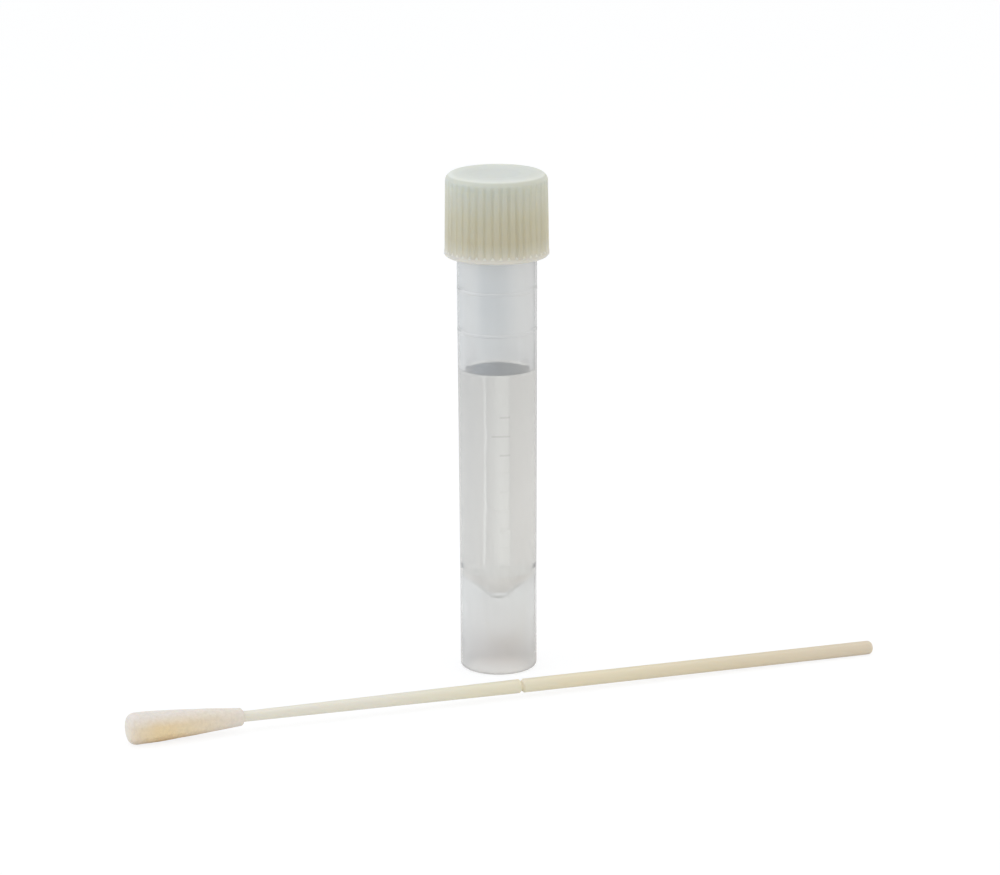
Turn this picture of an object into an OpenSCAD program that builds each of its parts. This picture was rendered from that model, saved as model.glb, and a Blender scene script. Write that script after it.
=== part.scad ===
// Specimen swab tube: a self-standing screw-cap tube part filled with liquid
// medium, and the foam-tipped break-off swab that is dropped into it.
// Millimetres, +Z up. The origin is the centre of the tube's foot.

/* [Tube] */
// Height from the foot to the rim of the mouth
tube_h = 77.4; // [60:0.1:110]
// Outside diameter of the skirt
foot_d = 12.12; // [11.4:0.02:13]
// Outside diameter just below the neck
body_d = 12.54; // [12.2:0.02:13.4]
// Wall of the body
body_wall = 1.05; // [0.8:0.05:1.3]
// Height of the open skirt, up to the rim of the cone
skirt_h = 15; // [8:0.5:25]
// Wall of the skirt
skirt_wall = 0.95; // [0.7:0.05:1.3]
// Rounding of the skirt's outer edge
foot_round = 0.65; // [0.2:0.05:0.7]
// Slope of the conical bottom above the horizontal, in degrees
cone_slope = 43; // [20:1:50]
// Radius of the flat tip of the cone
cone_tip_r = 1.4; // [0.4:0.1:2]
// Upright thickness of the conical bottom
cone_wall = 1.1; // [0.8:0.1:2]
// Heights of the two faint mould rings round the body
mould_rings = [55.2, 61.8];
// Width of a mould ring
ring_w = 0.5; // [0.2:0.05:0.8]
// How far a mould ring stands proud
ring_proud = 0.04; // [0.03:0.01:0.2]

/* [Graduation] */
// Number of marks
mark_count = 9; // [3:1:9]
// Height of the highest mark
mark_top = 42.3; // [40:0.1:50]
// Spacing of the marks
mark_pitch = 3.06; // [2:0.02:3.2]
// Every so many marks is a long one
mark_group = 4; // [2:1:5]
// Width of a short mark round the body, in degrees
mark_short = 15; // [8:1:25]
// Width of a long mark round the body, in degrees
mark_long = 27; // [26:1:60]
// Direction of the right end of the marks from the front, in degrees
mark_end = 18; // [-40:1:60]
// Height of the raised line
mark_line = 0.3; // [0.2:0.05:0.8]
// How far the line stands proud
mark_proud = 0.04; // [0.03:0.01:0.2]

/* [Neck and thread] */
// Length of the neck, up to the rim
neck_h = 9.6; // [8:0.1:14]
// Wall of the neck
neck_wall = 0.75; // [0.6:0.05:0.9]
// Rise of the thread in one turn
thread_pitch = 3; // [2.4:0.1:3.6]
// Turns of thread on the neck
neck_turns = 2; // [1:0.25:2]
// Turns of thread in the cap
cap_turns = 2; // [1:0.25:2]
// How far the thread stands out of the neck
thread_depth = 0.68; // [0.4:0.02:0.8]
// Width of the thread's crest
thread_crest = 0.7; // [0.4:0.05:0.9]
// Widening of each flank for each millimetre of depth
thread_flank = 0.45; // [0.2:0.05:0.8]
// Plain length of neck above the thread
neck_lead = 0.8; // [0.5:0.1:1.2]
// Gap between the cap's thread and the neck, and between the neck's thread and the cap
thread_clearance = 0.25; // [0.15:0.01:0.4]
// Gap between the flanks that draw the cap down
thread_play = 0.15; // [0.1:0.01:0.3]

/* [Cap] */
// Wall at the skirt's lip
cap_wall = 1.3; // [1:0.05:2]
// How far the skirt reaches down past the neck
cap_overhang = 0.8; // [0.3:0.1:2]
// Thickness of the cap's top
cap_top = 1.6; // [1.2:0.1:3]
// Draft of the ribbed side, in degrees
cap_draft = 0.8; // [0:0.05:1.5]
// Rounding of the top edge
cap_round = 1.25; // [0.8:0.05:1.6]
// Radius of the shallow dish in the top
dish_r = 5.4; // [3:0.1:6]
// Depth of the dish
dish_depth = 0.2; // [0.1:0.05:0.6]
// Width of the dish's sloped edge
dish_edge = 1.6; // [0.5:0.1:2.5]
// Height of the smooth lip below the ribs
lip_h = 0.7; // [0.4:0.05:2]
// How far the lip stands out past the ribs
lip_proud = 0.06; // [0.02:0.01:0.3]
// Number of ribs
rib_count = 40; // [24:1:48]
// Depth of the grooves between ribs
groove_depth = 0.12; // [0.1:0.01:0.3]
// Depth left where they meet the lip
groove_start = 0.03; // [0.02:0.01:0.08]
// Height over which they deepen above the lip
groove_run = 0.4; // [0.2:0.05:1]
// Radius of the grooves
groove_r = 0.46; // [0.35:0.01:0.55]

/* [Sealing disc] */
// Thickness
liner_t = 1; // [0.5:0.1:2]
// Gap round its edge
liner_clearance = 0.12; // [0.05:0.01:0.3]

/* [Liquid medium] */
// Height of the level surface above the foot
fill_level = 48.7; // [25:0.1:65]
// Climb of the liquid up the wall
meniscus = 0.25; // [0.1:0.05:1]
// How far in from the wall the surface starts to curve up
meniscus_reach = 0.6; // [0.5:0.1:3]

/* [Swab] */
// Length from the foam's nose to the end of the handle
swab_len = 123.4; // [110:0.1:160]
// Diameter of the handle
handle_d = 2.2; // [1.8:0.05:2.8]
// Rounding of the handle's end
handle_round = 0.7; // [0.3:0.05:0.85]
// Distance of the break point from the nose
break_at = 63.2; // [50:0.1:75]
// Diameter left at the break point
break_d = 1.4; // [0.8:0.05:1.6]
// Width of the break notch at the surface
break_w = 0.8; // [0.4:0.05:1.2]
// Diameter of the shaft where it leaves the foam
shaft_d = 1.65; // [1.45:0.05:1.8]
// Diameter of the stem inside the foam
stem_d = 1.3; // [0.8:0.05:1.4]
// Foam left in front of the stem
stem_cover = 2.5; // [1:0.1:5]

/* [Foam bud] */
// Length
bud_len = 18.1; // [14:0.1:25]
// Largest diameter
bud_d = 4.9; // [4:0.02:5.6]
// Diameter at the back, before its edge is rounded
bud_back_d = 2.72; // [2.6:0.02:3.6]
// Distance from the nose to the end of the straight stretch
bud_straight = 3; // [2:0.1:6]
// Fullness of the taper behind it, where 1 is a plain cone
bud_fullness = 1.25; // [1:0.05:2]
// Rounding of the nose
nose_round = 1.2; // [0.6:0.1:1.8]
// Rounding of the back edge
bud_back_round = 0.55; // [0.2:0.05:0.55]

/* [Swab placement] */
// Clear space between the tube's foot and the handle
swab_gap = 9.33; // [4:0.01:30]
// Distance from the nose to the point nearest the tube
swab_reach = 65.5; // [30:0.1:100]
// Direction of the handle from +X, in degrees
swab_turn = 20; // [0:0.1:40]

/* [Hidden] */
$fn = 96;
overshoot = 1;
outward = 1;
inward = -1;

// Tube
foot_r = foot_d / 2;
body_r = body_d / 2;
skirt_bore_r = foot_r - skirt_wall;
neck_z = tube_h - neck_h;
bore_top_r = body_r - body_wall;
bore_foot_r = foot_r - body_wall;
rise = tan(cone_slope);
cone_tip_z = skirt_h - (skirt_bore_r - cone_tip_r) * rise;
floor_z = cone_tip_z + cone_wall;
cone_rim_z = floor_z + (bore_foot_r - cone_tip_r) * rise;
neck_r = bore_top_r + neck_wall;
shoulder_h = body_r - neck_r;

// Thread
crest_r = neck_r + thread_depth;
cap_crest_r = neck_r + thread_clearance;
cap_bore_r = crest_r + thread_clearance;
cap_thread_depth = cap_bore_r - cap_crest_r;
thread_bite = 0.15;
thread_steps = 36;
fade_steps = 6;
neck_thread_top = tube_h - neck_lead - thread_crest / 2 - thread_flank * thread_depth;
thread_drop = thread_crest + thread_flank * (crest_r - cap_crest_r) + thread_play;

// Cap
cap_z = neck_z - cap_overhang;
ceiling_z = tube_h + liner_t;
cap_top_z = ceiling_z + cap_top;
cap_r = cap_bore_r + cap_wall;
rib_r = cap_r - lip_proud;
lip_z = cap_z + lip_h;
cap_top_r = rib_r - (cap_top_z - cap_round - lip_z) * tan(cap_draft);
lip_chamfer = 0.25;
groove_h = cap_top_z - cap_z;
groove_top_r = groove_r + groove_h * tan(cap_draft);
groove_end_r = rib_r - groove_start;
groove_end_h = groove_run * groove_depth / (groove_depth - groove_start);

// Liquid medium
meniscus_steps = 6;

// Swab
handle_r = handle_d / 2;
bud_r = bud_d / 2;
bud_back_r = bud_back_d / 2;
bud_back_s = bud_len - bud_back_round;
bud_steps = 8;
swab_tilt = atan((bud_r - handle_r) / (swab_len - handle_round - bud_straight));
swab_z = bud_r * cos(swab_tilt) + bud_straight * sin(swab_tilt);
swab_side = foot_r + swab_gap + handle_r;

// Points of an arc about [x, y] from angle a to angle b
function arc(x, y, r, a, b, n = 6) =
    [for (i = [0:n]) let (t = a + (b - a) * i / n) [x + r * cos(t), y + r * sin(t)]];

// The body is straight over the skirt and widens evenly above it
function outer_r(z) = foot_r + (body_r - foot_r) * max(0, (z - skirt_h) / (neck_z - skirt_h));
// The bore widens evenly from the rim of the cone to the neck
function bore_r(z) =
    bore_foot_r + (bore_top_r - bore_foot_r) * (z - cone_rim_z) / (neck_z - cone_rim_z);
// The bud is straight behind the nose, then tapers ever faster to the back
function bud_radius(s) =
    bud_r - (bud_r - bud_back_r) * pow((s - bud_straight) / (bud_len - bud_straight), bud_fullness);

// One mould ring as four points of the outline
function ring_points(z) = [
    [outer_r(z - ring_w / 2), z - ring_w / 2],
    [outer_r(z) + ring_proud, z - ring_w / 4],
    [outer_r(z) + ring_proud, z + ring_w / 4],
    [outer_r(z + ring_w / 2), z + ring_w / 2]];

// A ridge that winds up the wall of radius wall_r, outward or inward from it.
// top_z is its middle at the upper end. It sinks into the wall at both ends.
module thread(wall_r, depth, turns, top_z, side) {
    steps = round(turns * thread_steps);
    flare = thread_flank * (depth + thread_bite);
    function fade(i) = min(1, i / fade_steps, (steps - i) / fade_steps);
    function crest(i) = wall_r + side * (depth * fade(i) - thread_bite / 2 * (1 - fade(i)));
    function ring(i) = let (
        a = 360 * (i - steps) / thread_steps,
        z = top_z + thread_pitch * (i - steps) / thread_steps,
        root = wall_r - side * thread_bite)
        [for (p = [[root, -thread_crest / 2 - flare], [crest(i), -thread_crest / 2],
                   [crest(i), thread_crest / 2], [root, thread_crest / 2 + flare]])
            [p[0] * cos(a), p[0] * sin(a), z + p[1]]];
    sides = [for (i = [0:steps - 1], k = [0:3]) let (a = 4 * i + k, b = 4 * i + (k + 1) % 4)
        each [[a, b, b + 4], [a, b + 4, a + 4]]];
    ends = [[3, 2, 1], [3, 1, 0],
            [4 * steps, 4 * steps + 1, 4 * steps + 2], [4 * steps, 4 * steps + 2, 4 * steps + 3]];
    faces = concat(sides, ends);
    polyhedron(
        points = [for (i = [0:steps]) each ring(i)],
        faces = side == inward ? [for (f = faces) [f[2], f[1], f[0]]] : faces);
}

// One raised graduation line, its right end at mark_end
module mark(z, width) {
    rotate([0, 0, -90 + mark_end - width])
        translate([0, 0, z - mark_line / 2])
            rotate_extrude(angle = width)
                translate([outer_r(z) - body_wall / 2, 0])
                    square([body_wall / 2 + mark_proud, mark_line]);
}

module tube() {
    color("gainsboro", 0.5) {
        difference() {
            rotate_extrude()
                polygon(concat(
                    [[0, cone_tip_z], [cone_tip_r, cone_tip_z],
                     [skirt_bore_r, skirt_h], [skirt_bore_r, 0]],
                    arc(foot_r - foot_round, foot_round, foot_round, -90, 0),
                    [[foot_r, skirt_h]],
                    [for (z = mould_rings) each ring_points(z)],
                    [[body_r, neck_z - shoulder_h], [neck_r, neck_z], [neck_r, tube_h],
                     [0, tube_h]]));
            rotate_extrude()
                polygon([
                    [0, floor_z], [cone_tip_r, floor_z], [bore_foot_r, cone_rim_z],
                    [bore_top_r, neck_z], [bore_top_r, tube_h + overshoot],
                    [0, tube_h + overshoot]]);
        }
        thread(neck_r, thread_depth, neck_turns, neck_thread_top, outward);
        for (i = [0:mark_count - 1])
            mark(mark_top - i * mark_pitch, i % mark_group == 1 ? mark_long : mark_short);
    }
}

module medium() {
    wet_r = bore_r(fill_level + meniscus);
    color("whitesmoke", 0.4)
        rotate_extrude()
            polygon(concat(
                [[0, floor_z], [cone_tip_r, floor_z], [bore_foot_r, cone_rim_z]],
                [for (i = [0:meniscus_steps]) let (climb = 1 - i / meniscus_steps)
                    [wet_r - meniscus_reach * (1 - climb), fill_level + meniscus * climb * climb]],
                [[0, fill_level]]));
}

module cap_liner() {
    color("white")
        translate([0, 0, tube_h])
            cylinder(r = cap_bore_r - liner_clearance, h = liner_t);
}

module cap() {
    color("ivory") {
        difference() {
            rotate_extrude()
                polygon(concat(
                    [[0, ceiling_z], [cap_bore_r, ceiling_z], [cap_bore_r, cap_z + lip_chamfer],
                     [cap_bore_r + lip_chamfer, cap_z], [cap_r - lip_chamfer, cap_z],
                     [cap_r, cap_z + lip_chamfer], [cap_r, lip_z], [rib_r, lip_z]],
                    arc(cap_top_r - cap_round, cap_top_z - cap_round, cap_round, 0, 90),
                    [[dish_r, cap_top_z], [dish_r - dish_edge, cap_top_z - dish_depth],
                     [0, cap_top_z - dish_depth]]));
            for (i = [0:rib_count - 1])
                rotate([0, 0, (i + 0.5) * 360 / rib_count])
                    translate([rib_r + groove_r - groove_depth, 0, lip_z])
                        cylinder(r1 = groove_r, r2 = groove_top_r, h = groove_h, $fn = 24);
        }
        // A cone inside the ribs gives each groove its sloped lower end
        rotate_extrude()
            polygon([
                [groove_end_r - groove_depth, lip_z - lip_h / 2], [groove_end_r, lip_z - lip_h / 2],
                [groove_end_r, lip_z], [groove_end_r - groove_depth, lip_z + groove_end_h]]);
        thread(cap_bore_r, cap_thread_depth, cap_turns, neck_thread_top - thread_drop, inward);
    }
}

// Lays what is turned about +Z, its nose at the origin, down beside the tube
module lay_swab() {
    rotate([0, 0, swab_turn])
        translate([-swab_reach, -swab_side, swab_z])
            rotate([0, 90 + swab_tilt, 0])
                children();
}

module swab_shaft() {
    color("cornsilk")
        lay_swab()
            rotate_extrude()
                polygon(concat(
                    [[0, stem_cover], [stem_d / 2, stem_cover], [stem_d / 2, bud_len],
                     [shaft_d / 2, bud_len], [handle_r, break_at - break_w / 2],
                     [break_d / 2, break_at], [handle_r, break_at + break_w / 2]],
                    arc(handle_r - handle_round, swab_len - handle_round, handle_round, 0, 90),
                    [[0, swab_len]]));
}

module swab_bud() {
    color("linen")
        lay_swab()
            rotate_extrude()
                polygon(concat(
                    [[0, stem_cover], [0, 0]],
                    arc(bud_r - nose_round, nose_round, nose_round, -90, 0),
                    [for (i = [0:bud_steps - 1])
                        let (s = bud_straight + (bud_back_s - bud_straight) * i / bud_steps)
                        [bud_radius(s), s]],
                    arc(bud_radius(bud_back_s) - bud_back_round, bud_back_s, bud_back_round, 0, 90),
                    [[stem_d / 2, bud_len], [stem_d / 2, stem_cover]]));
}

tube();
medium();
cap_liner();
cap();
swab_shaft();
swab_bud();
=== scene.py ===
# Specimen swab tube: a hazy screw-cap tube part filled with liquid, and its foam swab
import math

import bpy
import numpy as np
from mathutils import Matrix, Vector


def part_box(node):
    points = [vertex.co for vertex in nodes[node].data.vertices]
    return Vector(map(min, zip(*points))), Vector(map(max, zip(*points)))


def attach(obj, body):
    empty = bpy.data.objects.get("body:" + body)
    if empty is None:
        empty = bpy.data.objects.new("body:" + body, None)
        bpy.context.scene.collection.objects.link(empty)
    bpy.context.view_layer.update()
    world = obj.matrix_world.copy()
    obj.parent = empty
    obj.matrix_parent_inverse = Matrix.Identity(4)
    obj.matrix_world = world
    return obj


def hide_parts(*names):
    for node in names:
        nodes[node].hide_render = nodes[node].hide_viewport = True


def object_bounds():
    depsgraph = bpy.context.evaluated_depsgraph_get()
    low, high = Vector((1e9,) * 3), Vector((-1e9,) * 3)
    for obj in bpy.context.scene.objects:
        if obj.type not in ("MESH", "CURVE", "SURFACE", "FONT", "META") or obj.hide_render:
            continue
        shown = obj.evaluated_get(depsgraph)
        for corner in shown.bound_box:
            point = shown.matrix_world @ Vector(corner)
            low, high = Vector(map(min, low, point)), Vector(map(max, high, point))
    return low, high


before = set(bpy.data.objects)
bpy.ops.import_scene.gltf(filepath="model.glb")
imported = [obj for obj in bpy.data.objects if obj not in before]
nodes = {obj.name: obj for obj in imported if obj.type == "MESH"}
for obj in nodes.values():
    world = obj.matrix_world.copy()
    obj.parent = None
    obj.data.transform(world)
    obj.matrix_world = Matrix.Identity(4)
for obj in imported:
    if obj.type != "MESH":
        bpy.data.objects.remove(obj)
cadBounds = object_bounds()
mm = 0.001  # places and sizes are in metres where no note says mm
print("frame loaded:", ", ".join(sorted(nodes)))


def linearColour(hexText):
    # sRGB hex to linear RGBA: the straight foot below 0.04045, the 2.4 power above it
    channels = [int(hexText[i:i + 2], 16) / 255 for i in (1, 3, 5)]
    return [c / 12.92 if c <= 0.04045 else ((c + 0.055) / 1.055) ** 2.4 for c in channels] + [1.0]


def addNode(tree, kind, values=(), links=(), stops=(), **settings):
    # values and links are dictionaries by input, stops the (place, hex) pairs of a colour
    # ramp, two at least
    node = tree.nodes.new("ShaderNode" + kind)
    for key, value in settings.items():
        setattr(node, key, value)
    for key, value in dict(values).items():
        node.inputs[key].default_value = value
    for key, socket in dict(links).items():
        tree.links.new(socket, node.inputs[key])
    if stops:
        elements = node.color_ramp.elements
        elements[0].position, elements[1].position = stops[0][0], stops[-1][0]
        elements[0].color, elements[1].color = linearColour(stops[0][1]), linearColour(stops[-1][1])
        for place, hexText in stops[1:-1]:
            elements.new(place).color = linearColour(hexText)
    return node


def newMaterial(name):
    material = bpy.data.materials.new(name)
    material.use_nodes = True
    material.node_tree.nodes.clear()
    return material, material.node_tree


def surfaceOut(tree, shader):
    addNode(tree, "OutputMaterial", links={"Surface": shader.outputs[0]})


def gridMesh(name, points, closedAround):
    # points is a rows x columns x 3 array; each cell becomes one quad, and with
    # closedAround the last column joins the first
    rows, columns = points.shape[:2]
    index = np.arange(rows * columns).reshape(rows, columns)
    if closedAround:
        index = np.hstack([index, index[:, :1]])
    quads = np.stack([index[:-1, :-1], index[:-1, 1:], index[1:, 1:], index[1:, :-1]], -1)
    quads = quads.reshape(-1, 4)
    mesh = bpy.data.meshes.new(name)
    mesh.vertices.add(rows * columns)
    mesh.vertices.foreach_set("co", points.reshape(-1).astype(np.float32))
    mesh.loops.add(quads.size)
    mesh.loops.foreach_set("vertex_index", quads.reshape(-1).astype(np.int32))
    mesh.polygons.add(len(quads))
    mesh.polygons.foreach_set("loop_start", np.arange(0, quads.size, 4, dtype=np.int32))
    mesh.update(calc_edges=True)
    piece = bpy.data.objects.new(name, mesh)
    bpy.context.scene.collection.objects.link(piece)
    return piece


def meshValues(items, key, width):
    # one row for each vertex or polygon
    flat = np.empty(len(items) * width, np.float32)
    items.foreach_get(key, flat)
    return flat.reshape(-1, width).astype(float)


cameraSettings = {
    "aim": (0, 0, 0.040),
    "distance": 0.600,
    "elevation": 14.74,  # degrees above the floor
    "lens": 137.2,
    "sensor": 36.0,
    "roll": 0.27,
    "shift": (0.0024, -0.0154),
    "clip": (0.01, 20),
}


def makeCamera(s):
    data = bpy.data.cameras.new("camera")
    data.lens, data.sensor_width = s["lens"], s["sensor"]
    data.shift_x, data.shift_y = s["shift"]
    data.clip_start, data.clip_end = s["clip"]
    camera = bpy.data.objects.new("camera", data)
    bpy.context.scene.collection.objects.link(camera)
    lift = math.radians(s["elevation"])
    back = Vector((0, -math.cos(lift), math.sin(lift)))
    place = Matrix.Translation(Vector(s["aim"]) + back * s["distance"])
    tilt = Matrix.Rotation(math.pi / 2 - lift, 4, "X")
    roll = Matrix.Rotation(-math.radians(s["roll"]), 4, "Z")
    camera.matrix_world = place @ tilt @ roll
    bpy.context.scene.camera = camera


makeCamera(cameraSettings)
bpy.context.scene.view_settings.view_transform = "Standard"
print("camera made")

# a white table in a soft daylight room: light walls behind and at the sides, the dark open
# room in front, a dark doorway far behind at eye height, and strips of light on the table.
# They are seen in reflections and through the tube. Places are degrees round the tube from
# straight behind, right positive, or mm from it.
studio = {
    "white": "#FFFFFF",
    "air": "#F4F6F8",
    "airStrength": 0.80,
    "floorSize": 3.0,
    "floorWhite": "#F4F4F2",
    "floorGlow": 0.84,  # what the floor shows of itself where it is looked at
    "floorShade": "#7C7C7C",  # what it shows there of the light that falls on it
    "tableShade": "#959595",  # and what it shows of that through plastic and liquid
    "tableGlow": 0.88,  # what it shows of itself through plastic and liquid
    "room": [
        (-180, "#323C4A"), (-125, "#323C4A"), (-100, "#FFFFFF"), (-40, "#FFFFFF"), (-22, "#D5D4CA"),
        (22, "#D5D4CA"), (40, "#FFFFFF"), (110, "#FAFAFA"), (138, "#E0E0E0"), (158, "#323C4A"),
        (180, "#323C4A")],
    "doorway": [
        (-180, "#FFFFFF"), (-12, "#FFFFFF"), (-6, "#D0E2FF"), (0, "#26324E"), (6, "#D4DCDE"),
        (12, "#FFFFFF"), (180, "#FFFFFF")],
    "doorHeight": (0.24, 0.05),  # sine of the angle up to its middle, and half its height
    "farTable": [
        (-180, "#E2E2E0"), (-20, "#E4E7E6"), (-12, "#E4E7E6"), (-7, "#DDE2E3"), (-4, "#B0BABF"),
        (0.5, "#ACB6BB"), (2, "#B4BDC1"), (4, "#D4D8DA"), (7, "#E0E1E0"), (20, "#E0DFDD"),
        (180, "#E2E2E0")],
    "midTable": [
        (-180, "#E8E8E6"), (-40, "#EAE8E5"), (-22, "#DBD8D5"), (-10, "#D7D3D0"), (-9.4, "#C4C2BF"),
        (-8.4, "#C4C2BF"), (-7.4, "#ECECE9"), (0.5, "#ECECE9"), (2, "#D6D5D2"), (5.4, "#D0CECA"),
        (6.2, "#C0BEBB"), (7.4, "#C0BEBB"), (7.9, "#FFFFFF"), (9.2, "#FFFFFF"), (9.8, "#D0CECB"),
        (14, "#CCCAC7"), (22, "#C6C4C1"), (45, "#C6C4C2"), (180, "#E8E8E6")],
    # painted shadow: the tube's soft contact shadow on the table behind its foot, seen only in
    # reflections and through the tube
    "paintedShadowTable": [(0, "#A8988F"), (3, "#A8988F"), (10, "#D8D3CE"), (30, "#DCDCD9")],
    "paintedShadowMiddle": (1.0, 8.0, 0),  # mm, the darkest spot of the painted contact shadow on the table behind the foot
    "paintedShadowReach": 100,  # mm from that spot, over which the painted shadow's colours run
    "tableEnds": [(44, 54), (190, 240)],  # mm from the tube, between near, middle and far
    "tableFade": (90, 185, 0.79),  # mm where its light starts and ends to fall, and to what share
}
lamps = {
    "windowLeft": {
        "place": (-0.50, -0.16, 0.34), "size": (0.35, 0.35), "power": 0.66, "colour": "#D2E3FF"},
    "skyPanel": {
        "place": (0.03, 0.06, 0.52), "size": (0.45, 0.45), "power": 0.45, "colour": "#F4F8FF"},
    "cardRight": {
        "place": (0.40, -0.25, 0.20), "size": (0.25, 0.40), "power": 0.12, "colour": "#FFF3E4"},
}


def seenThrough(tree):
    # 1 for what is mirrored or seen through plastic and liquid
    path = addNode(tree, "LightPath")
    return addNode(tree, "Math", operation="MAXIMUM", links={
        0: path.outputs["Is Glossy Ray"], 1: path.outputs["Is Transmission Ray"]}).outputs[0]


def turnAbout(tree, direction):
    # the share of a full turn about the tube, from x and y, 0.5 straight behind it
    parts = addNode(tree, "SeparateXYZ", links={0: direction})
    turn = addNode(tree, "Math", operation="ARCTAN2", links={0: parts.outputs[0], 1: parts.outputs[1]})
    return addNode(tree, "MapRange", {"From Min": -math.pi, "From Max": math.pi},
                   {"Value": turn.outputs[0]}).outputs[0]


def colourAt(tree, share, places, start, full):
    # the colour of a list of (place, hex) pairs, where share runs over full from start
    stops = [((place - start) / full, hexText) for place, hexText in places]
    return addNode(tree, "ValToRGB", {}, {"Fac": share}, stops).outputs["Color"]


def colourRound(tree, turn, places):
    # the same for places in degrees round the tube
    return colourAt(tree, turn, places, -180, 360)


def makeWorld(s):
    world = bpy.data.worlds.new("softStudio")
    bpy.context.scene.world = world
    world.use_nodes = True
    tree = world.node_tree
    tree.nodes.clear()
    direction = addNode(tree, "TexCoord").outputs["Generated"]
    air = addNode(tree, "Background", {"Color": linearColour(s["air"]), "Strength": s["airStrength"]})
    turn = turnAbout(tree, direction)
    middle, half = s["doorHeight"]
    height = addNode(tree, "SeparateXYZ", links={0: direction}).outputs["Z"]
    atDoor = addNode(tree, "Math", {1: middle, 2: half}, {0: height}, operation="COMPARE")
    walls = addNode(tree, "MixRGB", {}, {
        0: atDoor.outputs[0], 1: colourRound(tree, turn, s["room"]),
        2: colourRound(tree, turn, s["doorway"])}, blend_type="MULTIPLY")
    room = addNode(tree, "Background", links={"Color": walls.outputs[0]})
    white = addNode(tree, "Background", {"Color": linearColour(s["white"]), "Strength": 1.0})
    indirect = addNode(tree, "MixShader", links={
        0: seenThrough(tree), 1: air.outputs[0], 2: room.outputs[0]})
    isCamera = addNode(tree, "LightPath").outputs["Is Camera Ray"]
    mix = addNode(tree, "MixShader", links={0: isCamera, 1: indirect.outputs[0], 2: white.outputs[0]})
    addNode(tree, "OutputWorld", links={"Surface": mix.outputs[0]})


def makeFloor(s):
    low = cadBounds[0].z
    half = s["floorSize"] / 2
    x, y = np.meshgrid([-half, half], [-half, half])
    floor = gridMesh("floor", np.stack([x, y, np.full_like(x, low)], -1), False)
    material, tree = newMaterial("whiteFloor")
    place = addNode(tree, "TexCoord").outputs["Object"]
    turn = turnAbout(tree, place)
    away = addNode(tree, "VectorMath", {}, {0: place}, operation="LENGTH").outputs["Value"]
    # the painted contact shadow behind the foot
    shadowSpot = [c * mm for c in s["paintedShadowMiddle"]]
    spot = addNode(tree, "VectorMath", {1: shadowSpot}, {0: place}, operation="DISTANCE")
    reach = addNode(tree, "MapRange", {"From Max": s["paintedShadowReach"] * mm},
                    {"Value": spot.outputs["Value"]})
    paintedShadowNear = colourAt(tree, reach.outputs[0], s["paintedShadowTable"], 0, s["paintedShadowReach"])
    middle, far = (
        addNode(tree, "MapRange", {"From Min": a * mm, "From Max": b * mm}, {"Value": away}).outputs[0]
        for a, b in s["tableEnds"])
    close = addNode(tree, "MixRGB", {}, {
        0: middle, 1: paintedShadowNear, 2: colourRound(tree, turn, s["midTable"])})
    table = addNode(tree, "MixRGB", {}, {
        0: far, 1: close.outputs[0], 2: colourRound(tree, turn, s["farTable"])}).outputs[0]
    plain = addNode(tree, "BsdfDiffuse", {"Color": linearColour(s["floorWhite"])})
    white = addNode(tree, "Emission", {"Color": linearColour(s["white"]), "Strength": s["floorGlow"]})
    start, end, share = s["tableFade"]
    glow = addNode(tree, "MapRange", {
        "From Min": start * mm, "From Max": end * mm, "To Min": s["tableGlow"],
        "To Max": s["tableGlow"] * share}, {"Value": away})
    strips = addNode(tree, "Emission", {}, {"Color": table, "Strength": glow.outputs[0]})
    through = seenThrough(tree)
    shown = addNode(tree, "MixRGB", {
        1: linearColour(s["floorShade"]), 2: linearColour(s["tableShade"])}, {0: through})
    shade = addNode(tree, "BsdfDiffuse", links={"Color": shown.outputs[0]})
    own = addNode(tree, "MixShader", links={0: through, 1: white.outputs[0], 2: strips.outputs[0]})
    seen = addNode(tree, "AddShader", links={0: shade.outputs[0], 1: own.outputs[0]})
    isCamera = addNode(tree, "LightPath").outputs["Is Camera Ray"]
    either = addNode(tree, "Math", operation="MAXIMUM", links={0: isCamera, 1: through})
    surfaceOut(tree, addNode(tree, "MixShader", links={
        0: either.outputs[0], 1: plain.outputs[0], 2: seen.outputs[0]}))
    floor.data.materials.append(material)


def makeLamp(name, s):
    data = bpy.data.lights.new(name, "AREA")
    data.shape = "RECTANGLE"
    data.size, data.size_y = s["size"]
    data.energy = s["power"]
    data.color = linearColour(s["colour"])[:3]
    lamp = bpy.data.objects.new(name, data)
    bpy.context.scene.collection.objects.link(lamp)
    place = Vector(s["place"])
    lamp.location = place
    lamp.rotation_euler = (Vector(cameraSettings["aim"]) - place).to_track_quat("-Z", "Y").to_euler()


makeWorld(studio)
makeFloor(studio)
for lampName, lampSettings in lamps.items():
    makeLamp(lampName, lampSettings)
print("light and floor made")

tubePlastic = {
    "colour": "#FBFBFA",
    "markColour": "#F4F4F3",
    "ior": 1.49,
    # clear is the share of light that goes through one face, the rest shows the milky wall
    "skin": {"clear": 0.66, "rough": 0.02},
    "marks": {"clear": 0.68, "rough": 0.07},
    "cone": {"clear": 1.0, "rough": 0.14},
    "coneIor": 1.08,  # matched; it bends light far less than plain PP would
    "boreClear": 1.0,
    "boreRough": {"dry": 0.05, "wet": 0.015},
    "coreRough": {"foot": 0.38, "cone": 0.10, "heights": (3, 9)},  # mm
    "marksFrom": 35,  # mm, the marks below this are as polished as the wall and hardly show
    "flow": 0.9,  # mm, width of the faint upright flow marks of the moulding
    "flowStretch": 0.04,  # their width over their length
    "flowDepth": 0.0008,  # mm
}


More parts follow.
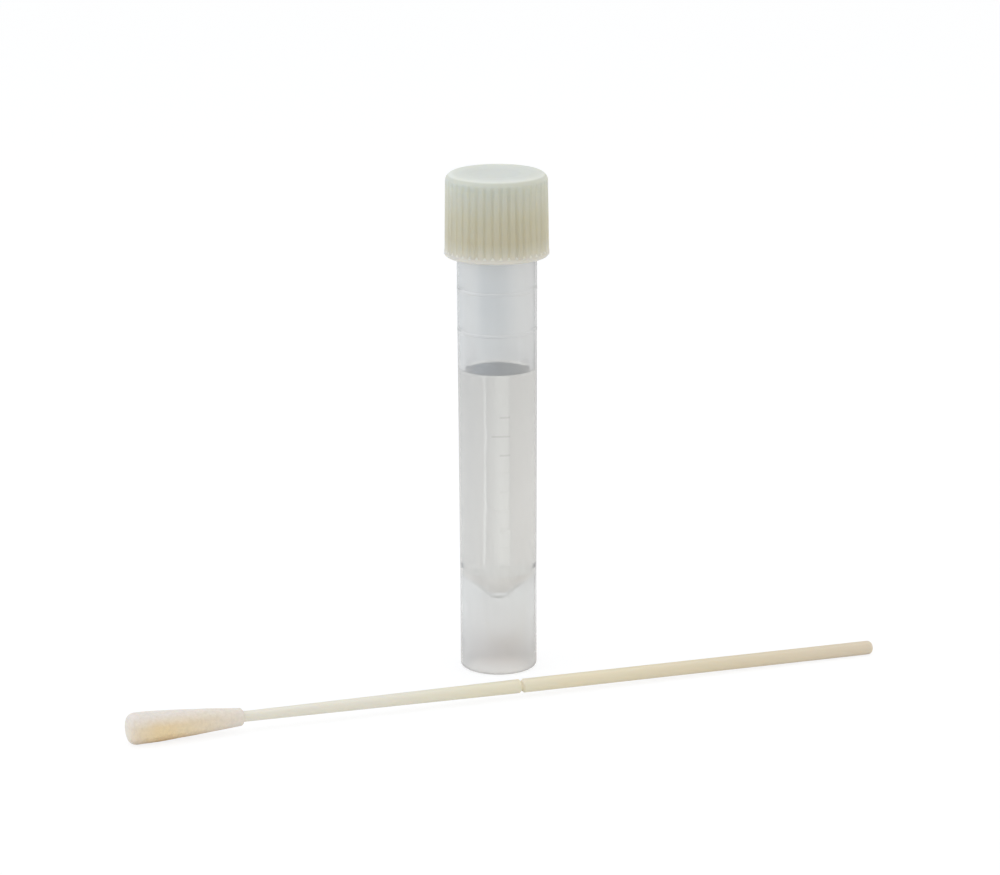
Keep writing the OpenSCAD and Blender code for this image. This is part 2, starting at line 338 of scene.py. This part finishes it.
def makeSkin(s):
    # natural PP from a polished mould: a glossy skin over a milky wall that is seen through
    material, tree = newMaterial("hazyPolypropylene")
    place = addNode(tree, "TexCoord").outputs["Object"]
    drawn = addNode(tree, "Mapping", {"Scale": (1, 1, s["flowStretch"])}, {"Vector": place})
    noise = addNode(tree, "TexNoise", {"Scale": 1 / (s["flow"] * mm), "Detail": 2.0},
                    {"Vector": drawn.outputs[0]})
    bump = addNode(tree, "Bump", {"Strength": 1.0, "Distance": s["flowDepth"] * mm},
                   {"Height": noise.outputs["Fac"]})
    surfaceOut(tree, addNode(tree, "BsdfPrincipled", {
        "Base Color": linearColour(s["colour"]), "Roughness": s["skin"]["rough"], "IOR": s["ior"],
        "Transmission Weight": s["skin"]["clear"]}, {"Normal": bump.outputs[0]}))
    return material


def makeBore(s):
    # the bore is a little matt where it is dry, and clears up where the liquid wets it
    material, tree = newMaterial("borePolypropylene")
    place = addNode(tree, "TexCoord").outputs["Object"]
    height = addNode(tree, "SeparateXYZ", links={0: place}).outputs["Z"]
    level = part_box("medium")[1].z
    wet = addNode(tree, "Math", {1: level}, {0: height}, operation="LESS_THAN").outputs[0]
    rough = addNode(tree, "MapRange", {
        "To Min": s["boreRough"]["dry"], "To Max": s["boreRough"]["wet"]}, {"Value": wet})
    surfaceOut(tree, addNode(tree, "BsdfPrincipled", {
        "Base Color": linearColour(s["colour"]), "IOR": s["ior"],
        "Transmission Weight": s["boreClear"]}, {"Roughness": rough.outputs[0]}))
    return material


def makeCore(s):
    # the skirt's bore, from a turned core: frosted at the foot, clearer up by the cone
    material, tree = newMaterial("corePolypropylene")
    place = addNode(tree, "TexCoord").outputs["Object"]
    height = addNode(tree, "SeparateXYZ", links={0: place}).outputs["Z"]
    low, high = s["coreRough"]["heights"]
    rough = addNode(tree, "MapRange", {
        "From Min": low * mm, "From Max": high * mm,
        "To Min": s["coreRough"]["foot"], "To Max": s["coreRough"]["cone"]}, {"Value": height})
    surfaceOut(tree, addNode(tree, "BsdfPrincipled", {
        "Base Color": linearColour(s["colour"]), "IOR": s["ior"],
        "Transmission Weight": s["boreClear"]}, {"Roughness": rough.outputs[0]}))
    return material


def makeFrosted(name, colour, finish, ior):
    # PP from an unpolished core or an engraved line: frosted, it blurs what lies behind
    material, tree = newMaterial(name)
    surfaceOut(tree, addNode(tree, "BsdfPrincipled", {
        "Base Color": linearColour(colour), "Roughness": finish["rough"], "IOR": ior,
        "Transmission Weight": finish["clear"]}))
    return material


def dressNode(name, *materials):
    mesh = nodes[name].data
    mesh.materials.clear()
    for material in materials:
        mesh.materials.append(material)
    return mesh


def faceMeasures(mesh):
    # for each face its height, its distance from the tube's axis, how far its normal turns
    # up and away from the axis, and its area
    centre, normal = meshValues(mesh.polygons, "center", 3), meshValues(mesh.polygons, "normal", 3)
    radius = np.hypot(centre[:, 0], centre[:, 1])
    outward = (centre[:, :2] * normal[:, :2]).sum(1) / np.maximum(radius, 1e-6)
    return centre[:, 2], radius, normal[:, 2], outward, meshValues(mesh.polygons, "area", 1)[:, 0]


def dressTube(s):
    mesh = dressNode("tube", makeSkin(s), makeBore(s), makeCore(s),
                     makeFrosted("markPolypropylene", s["markColour"], s["marks"], s["ior"]),
                     makeFrosted("conePolypropylene", s["colour"], s["cone"], s["coneIor"]))
    height, radius, upward, outward, area = faceMeasures(mesh)
    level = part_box("medium")[1]
    rimSlack = 0.2 * mm  # the bore is no wider than the liquid's rim and this
    footRing = 1 * mm  # the ring that the tube stands on faces down too, but below this
    markStep = 0.02 * mm  # a mark stands out from the body by more than this
    steep, sloping = 0.5, 0.3  # least share of a normal that points out or in, and down
    inside = radius < level.x + rimSlack
    underCone = inside & (upward < -sloping) & (height > footRing)
    coneTop = height[underCone].max()
    core = inside & (outward < -steep) & (height < coneTop)
    # a straight line through the outside up to the liquid's level: the marks stand out from it
    body = (outward > steep) & (height > coneTop) & (height < level.z)
    slope, start = np.polyfit(height[body], radius[body], 1, w=np.sqrt(area[body]))
    proud = (height > s["marksFrom"] * mm) & (height < level.z)
    proud &= radius > start + slope * height + markStep
    index = np.select([proud, underCone, core, inside], [3, 4, 2, 1], 0)
    mesh.polygons.foreach_set("material_index", index.astype(np.int32))
    mesh.update()


dressTube(tubePlastic)
print("tube dressed")

mediumLook = {
    "colour": "#FFFDF8",
    # painted reflection and shade: the surface's dark middle, the same from every side
    "paintedDarkMiddle": "#10161C",
    "topRim": "#FFFFFF",
    "darkReach": (4.0, 4.8),  # mm from the axis, where the painted dark middle of the surface fades out
    "darkDepth": 0.88,  # how much less that distance counts to the front and back
    "ior": 1.333,
    "roughness": 0.02,
    "grow": 0.02,  # mm that the liquid reaches into the wall, so that no film of air shows
    "coneHeight": 6,  # mm, the part of the liquid that is pushed down as well as out
    "rimDepth": 1,  # mm, its surface climbs the wall by less than this
}


def makeLiquid(s):
    # watery saline: clear, a hard gloss, bends light as water does
    material, tree = newMaterial("clearMedium")
    surfaceOut(tree, addNode(tree, "BsdfPrincipled", {
        "Base Color": linearColour(s["colour"]), "Roughness": s["roughness"], "IOR": s["ior"],
        "Transmission Weight": 1.0}))
    return material


def makePaintedDarkSurface(s):
    # its level surface: the same gloss, with a dark middle painted in for the dark reflection and
    # shade it shows, fading where it climbs the wall
    material, tree = newMaterial("mediumSurfacePaintedDark")
    place = addNode(tree, "TexCoord").outputs["Object"]
    flat = addNode(tree, "Mapping", {"Scale": (1, s["darkDepth"], 0)}, {"Vector": place})
    reach = addNode(tree, "VectorMath", {}, {0: flat.outputs[0]}, operation="LENGTH")
    fadeStart, fadeEnd = s["darkReach"]
    share = addNode(tree, "MapRange", {"From Min": fadeStart * mm, "From Max": fadeEnd * mm},
                    {"Value": reach.outputs["Value"]})
    colour = addNode(tree, "ValToRGB", {}, {"Fac": share.outputs[0]},
                     [(0.0, s["paintedDarkMiddle"]), (1.0, s["topRim"])])
    surfaceOut(tree, addNode(tree, "BsdfPrincipled", {
        "Roughness": s["roughness"], "IOR": s["ior"], "Transmission Weight": 1.0},
        {"Base Color": colour.outputs["Color"]}))
    return material


def makeMedium(s):
    # the CAD liquid, each point pushed out from the axis and down by the same small step
    mesh = nodes["medium"].data.copy()
    mesh.name = "liquid"
    low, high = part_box("medium")
    points = meshValues(mesh.vertices, "co", 3)
    radius = np.hypot(points[:, 0], points[:, 1])
    reach = np.divide(s["grow"] * mm, radius, out=np.zeros_like(radius), where=radius > 1e-6)
    points[:, :2] *= 1 + reach[:, None]
    points[:, 2] -= s["grow"] * mm * (points[:, 2] < low.z + s["coneHeight"] * mm)
    mesh.vertices.foreach_set("co", points.reshape(-1).astype(np.float32))
    mesh.materials.clear()
    mesh.materials.append(makeLiquid(s))
    mesh.materials.append(makePaintedDarkSurface(s))
    height, radius, upward, outward, area = faceMeasures(mesh)
    isTop = (upward > 0.5) & (height > high.z - s["rimDepth"] * mm)
    mesh.polygons.foreach_set("material_index", isTop.astype(np.int32))
    mesh.update()
    piece = bpy.data.objects.new("liquid", mesh)
    bpy.context.scene.collection.objects.link(piece)
    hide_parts("medium")
    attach(piece, "tube")


makeMedium(mediumLook)
print("liquid made")

capLook = {
    "colours": [  # from the lip up, the cap's off-white with painted light and shade: paler at the lip, on the top and just below it where light comes through the top, darker and yellower where the thread and neck behind take light away
        (0.0, "#DDD4C6"), (0.055, "#DDD4C6"), (0.10, "#DCD4C0"), (0.16, "#D5CDB7"), (0.25, "#CFC6AC"),
        (0.50, "#D2CAB0"), (0.75, "#DAD5BF"), (0.85, "#D9D7C3"), (0.92, "#CECFC2"), (0.97, "#CECFC2"),
        (0.984, "#E2E3D6"), (1.0, "#E2E3D6")],
    # painted light on the grooves' sloped ends
    "grooveEndPaintedLight": "#F0E9DA",
    "ior": 1.49,
    "roughness": 0.42,
    "gloss": 0.3,
    "soft": 1.0,
    "softColour": (1.0, 0.9, 0.7),  # how far red, green and blue spread in the wall
    "softReach": 4.0,  # mm
    "grain": 0.25,  # mm, the eroded finish, drawn several times as coarse as it is so that it shows
    "grainDepth": 0.01,  # mm
    "grainStrength": 0.6,
    "endHeight": 2,  # mm above the lip, where the grooves have ended
    "endDepth": 0.5,  # mm from the ribs' tops, which the grooves stay within
}


def capPlastic(name, s, stops):
    # natural PP, thick enough to look off-white, from a finely eroded mould: satin
    low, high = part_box("cap")
    material, tree = newMaterial(name)
    place = addNode(tree, "TexCoord").outputs["Object"]
    height = addNode(tree, "SeparateXYZ", links={0: place}).outputs["Z"]
    # painted light and shade: the colour runs by height through the stops
    share = addNode(tree, "MapRange", {"From Min": low.z, "From Max": high.z}, {"Value": height})
    colour = addNode(tree, "ValToRGB", {}, {"Fac": share.outputs[0]}, stops).outputs["Color"]
    noise = addNode(tree, "TexNoise", {"Scale": 1 / (s["grain"] * mm), "Detail": 2.0},
                    {"Vector": place})
    bump = addNode(tree, "Bump", {"Strength": s["grainStrength"], "Distance": s["grainDepth"] * mm},
                   {"Height": noise.outputs["Fac"]})
    surfaceOut(tree, addNode(tree, "BsdfPrincipled", {
        "Roughness": s["roughness"], "IOR": s["ior"], "Specular IOR Level": s["gloss"],
        "Subsurface Weight": s["soft"], "Subsurface Radius": s["softColour"],
        "Subsurface Scale": s["softReach"] * mm},
        {"Base Color": colour, "Normal": bump.outputs[0]}))
    return material


def dressCap(s):
    # painted light: the grooves' sloped ends face up and catch light from above, so they are painted
    # paler
    mesh = dressNode("cap", capPlastic("capPolypropylene", s, s["colours"]),
                     capPlastic("capGrooveEndsPaintedLight", s, [(0.0, s["grooveEndPaintedLight"]), (1.0, s["grooveEndPaintedLight"])]))
    height, radius, upward, outward, area = faceMeasures(mesh)
    low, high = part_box("cap")
    paintedLightEnds = (upward > 0.1) & (upward < 0.7) & (outward > 0.1)
    paintedLightEnds &= (height < low.z + s["endHeight"] * mm) & (radius > high.x - s["endDepth"] * mm)
    mesh.polygons.foreach_set("material_index", paintedLightEnds.astype(np.int32))
    mesh.update()


dressCap(capLook)
print("cap dressed")

linerLook = {"colour": "#ECECE6", "roughness": 0.6, "ior": 1.43}


def makeSilicone(s):
    # soft white silicone, moulded: matt
    material, tree = newMaterial("sealingSilicone")
    surfaceOut(tree, addNode(tree, "BsdfPrincipled", {
        "Base Color": linearColour(s["colour"]), "Roughness": s["roughness"], "IOR": s["ior"]}))
    return material


dressNode("cap_liner", makeSilicone(linerLook))
print("sealing disc dressed")

shaftLook = {
    "colours": [  # along the rod from the bud's end
        (0.0, "#F0EADA"), (0.30, "#F0EADA"), (0.42, "#F0E9D2"), (0.58, "#F0E4C6"), (0.80, "#E7D9BC"),
        (1.0, "#E4D5BD")],
    "ior": 1.55,
    "roughness": 0.38,
    "soft": 0.3,
    "softColour": (1.0, 0.8, 0.5),
    "softReach": 0.6,  # mm
}


def makeShaftPlastic(s):
    # ivory polystyrene rod, moulded: satin, yellower where it is thicker
    low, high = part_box("swab_shaft")
    material, tree = newMaterial("ivoryPolystyrene")
    place = addNode(tree, "TexCoord").outputs["Object"]
    across = addNode(tree, "SeparateXYZ", links={0: place}).outputs["X"]
    share = addNode(tree, "MapRange", {"From Min": low.x, "From Max": high.x}, {"Value": across})
    colour = addNode(tree, "ValToRGB", {}, {"Fac": share.outputs[0]}, s["colours"])
    surfaceOut(tree, addNode(tree, "BsdfPrincipled", {
        "Roughness": s["roughness"], "IOR": s["ior"], "Subsurface Weight": s["soft"],
        "Subsurface Radius": s["softColour"], "Subsurface Scale": s["softReach"] * mm},
        {"Base Color": colour.outputs["Color"]}))
    return material


dressNode("swab_shaft", makeShaftPlastic(shaftLook))
print("swab shaft dressed")

budLook = {
    "around": 260,  # points of the mesh
    "along": 300,
    "coreRadius": 0.7,  # mm, the CAD bud's wall round the stem lies nearer the axis than this
    "cell": 0.28,  # mm, width of the foam's cells
    "cellDepth": 0.028,  # mm
    "cellReach": 0.6,  # how far each dimple reaches, in cells
    "swell": 0.05,  # mm, slow unevenness of the cut foam
    "waves": (2.1, 1.3),  # mm along the bud in which its two slow waves turn by a radian
    "pale": "#EDE4D9",
    # painted light and shade by height: creamier and darker underneath, paler on top
    "heights": [(0.20, "#DEC096"), (0.45, "#F5DEB4"), (0.70, "#F1DBB4"), (1.0, "#EDE4D9")],
    # shares of the length where the warm tone starts to rise and is full, and its first value
    "nose": (0.0, 0.28, 0.15),
    # the same for where it starts to fall and has fallen, and its last value
    "back": (0.38, 0.98, 0.05),
    "patch": 0.5556,  # mm, width of the uneven patches of tone
    "patchRange": (0.35, 0.65),  # the part of the noise over which they go from dark to pale
    "patchRise": 0.2,  # share of the height by which they shift the warm tone
    "speckle": 0.055,  # how much darker and paler they are
    "grainDepth": 0.02,  # mm, of pores half as wide as the cells
    "grainStrength": 0.5,
    "ior": 1.4,
    "roughness": 0.95,
    "gloss": 0.2,
    "sheen": 0.1,
    "soft": 0.4,
    "softColour": (1.0, 0.75, 0.5),
    "softReach": 0.5,  # mm
    "seed": 7,
}


def swabAxis():
    # the middle of the shaft's first ring of points and the direction to that of its last
    points = np.unique(np.round(meshValues(nodes["swab_shaft"].data.vertices, "co", 3), 7), axis=0)
    offset = points - points.mean(0)
    spread = np.linalg.svd(offset, full_matrices=False)[2][0]
    along = offset @ spread * np.sign(spread[0])
    ringDepth = 0.05 * mm  # points of an end ring lie within this of it
    first = points[along < along.min() + ringDepth].mean(0)
    last = points[along > along.max() - ringDepth].mean(0)
    return first, (last - first) / np.linalg.norm(last - first)


def outlineOf(name, start, along, coreRadius):
    # distances along and from the axis of a turned node's outer rings, from nose to back,
    # closed on the axis at the nose and inside the core at the back
    offset = meshValues(nodes[name].data.vertices, "co", 3) - start
    s = offset @ along
    r = np.linalg.norm(offset - np.outer(s, along), axis=1)
    outer = r > coreRadius
    step = 0.02 * mm  # points nearer than this are on one ring
    rings = np.unique(np.round(np.stack([s[outer], r[outer]], 1) / step), axis=0) * step
    middle = (s.min() + s.max()) / 2
    order = np.lexsort((rings[:, 1] * np.where(rings[:, 0] < middle, 1, -1), rings[:, 0]))
    return np.vstack([[s.min(), 0], rings[order], [s.max(), coreRadius * 0.6]])


def cellNoise(u, v, cellsAround, seed):
    # distance to the nearest of one random point in each square of a grid, where u wraps round
    chance = np.random.default_rng(seed).random((cellsAround, int(v.max()) + 3, 2))
    column, row = np.floor(u).astype(int), np.floor(v).astype(int)
    nearest = np.full(u.shape, np.inf)
    for du in (-1, 0, 1):
        for dv in (-1, 0, 1):
            spot = chance[(column + du) % cellsAround, np.clip(row + dv, 0, None)]
            away = np.hypot(column + du + spot[..., 0] - u, row + dv + spot[..., 1] - v)
            nearest = np.minimum(nearest, away)
    return nearest


def makeFoam(s):
    # open-cell polyurethane foam: matt and soft; painted light and shade make it paler above and
    # creamier, darker underneath, and it is paler towards both ends
    low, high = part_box("swab_bud")
    material, tree = newMaterial("openCellFoam")
    place = addNode(tree, "TexCoord").outputs["Object"]
    cells = addNode(tree, "TexVoronoi", {"Scale": 1 / (0.5 * s["cell"] * mm)}, {"Vector": place})
    drift = addNode(tree, "TexNoise", {
        "Scale": 1 / (s["patch"] * mm), "Detail": 8.0, "Roughness": 0.7}, {"Vector": place})
    parts = addNode(tree, "SeparateXYZ", links={0: place})
    height = addNode(tree, "MapRange", {"From Min": low.z, "From Max": high.z},
                     {"Value": parts.outputs["Z"]})
    uneven = addNode(tree, "Math", {1: s["patchRise"]},
                     {0: drift.outputs["Fac"], 2: height.outputs[0]}, operation="MULTIPLY_ADD")
    # painted light and shade: the tone by height
    shadedByHeight = addNode(tree, "ValToRGB", {}, {"Fac": uneven.outputs[0]}, s["heights"])
    along = addNode(tree, "MapRange", {"From Min": low.x, "From Max": high.x},
                    {"Value": parts.outputs["X"]})
    (noseStart, noseEnd, noseShare), (backStart, backEnd, backShare) = s["nose"], s["back"]
    nose = addNode(tree, "MapRange", {"From Min": noseStart, "From Max": noseEnd, "To Min": noseShare},
                   {"Value": along.outputs[0]})
    back = addNode(tree, "MapRange", {
        "From Min": backStart, "From Max": backEnd, "To Min": 1.0, "To Max": backShare},
        {"Value": along.outputs[0]})
    share = addNode(tree, "Math", {}, {0: nose.outputs[0], 1: back.outputs[0]}, operation="MULTIPLY")
    tone = addNode(tree, "MixRGB", {1: linearColour(s["pale"])},
                   {0: share.outputs[0], 2: shadedByHeight.outputs["Color"]})
    patchLow, patchHigh = s["patchRange"]
    fleck = addNode(tree, "MapRange", {
        "From Min": patchLow, "From Max": patchHigh, "To Min": 1 - s["speckle"],
        "To Max": 1 + s["speckle"]}, {"Value": drift.outputs["Fac"]})
    colour = addNode(tree, "VectorMath", {}, {0: tone.outputs[0], "Scale": fleck.outputs[0]},
                     operation="SCALE")
    bump = addNode(tree, "Bump", {"Strength": s["grainStrength"], "Distance": s["grainDepth"] * mm},
                   {"Height": cells.outputs["Distance"]})
    surfaceOut(tree, addNode(tree, "BsdfPrincipled", {
        "Roughness": s["roughness"], "IOR": s["ior"], "Specular IOR Level": s["gloss"],
        "Sheen Weight": s["sheen"], "Subsurface Weight": s["soft"],
        "Subsurface Radius": s["softColour"], "Subsurface Scale": s["softReach"] * mm},
        {"Base Color": colour.outputs[0], "Normal": bump.outputs[0]}))
    return material


def makeBud(s):
    # the CAD outline carried round the shaft's axis, less a dimple for each of the foam's
    # cells and the product of two slow waves
    start, along = swabAxis()
    rings = outlineOf("swab_bud", start, along, s["coreRadius"] * mm)
    steps = np.hypot(*np.diff(rings, axis=0).T)
    length = np.concatenate([[0], np.cumsum(steps)])
    path = np.linspace(0, length[-1], s["along"])
    distance = np.interp(path, length, rings[:, 0])
    radius = np.interp(path, length, rings[:, 1])
    angle = np.linspace(0, 2 * math.pi, s["around"], endpoint=False)
    widest = radius.max()
    cellsAround = round(2 * math.pi * widest / (s["cell"] * mm))
    angleGrid, pathGrid = np.meshgrid(angle, path)
    u, v = angleGrid / (2 * math.pi) * cellsAround, pathGrid / (s["cell"] * mm) + 1
    dimple = np.clip(1 - cellNoise(u, v, cellsAround, s["seed"]) / s["cellReach"], 0, 1)
    share = (radius / widest)[:, None]
    longWave, shortWave = (pathGrid / (span * mm) for span in s["waves"])
    wave = np.sin(2 * angleGrid + longWave) * np.sin(3 * angleGrid - shortWave + 1)
    skin = radius[:, None] - share * mm * (s["cellDepth"] * dimple + s["swell"] * (0.5 + 0.5 * wave))
    side = np.cross(along, (0, 0, 1))
    side /= np.linalg.norm(side)
    up = np.cross(side, along)
    points = start + distance[:, None, None] * along + skin[..., None] * (
        np.cos(angleGrid)[..., None] * side + np.sin(angleGrid)[..., None] * up)
    piece = gridMesh("foamBud", points, True)
    piece.data.shade_smooth()
    piece.data.materials.append(makeFoam(s))
    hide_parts("swab_bud")
    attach(piece, "tube")


makeBud(budLook)
print("foam bud made")

print("scene done")
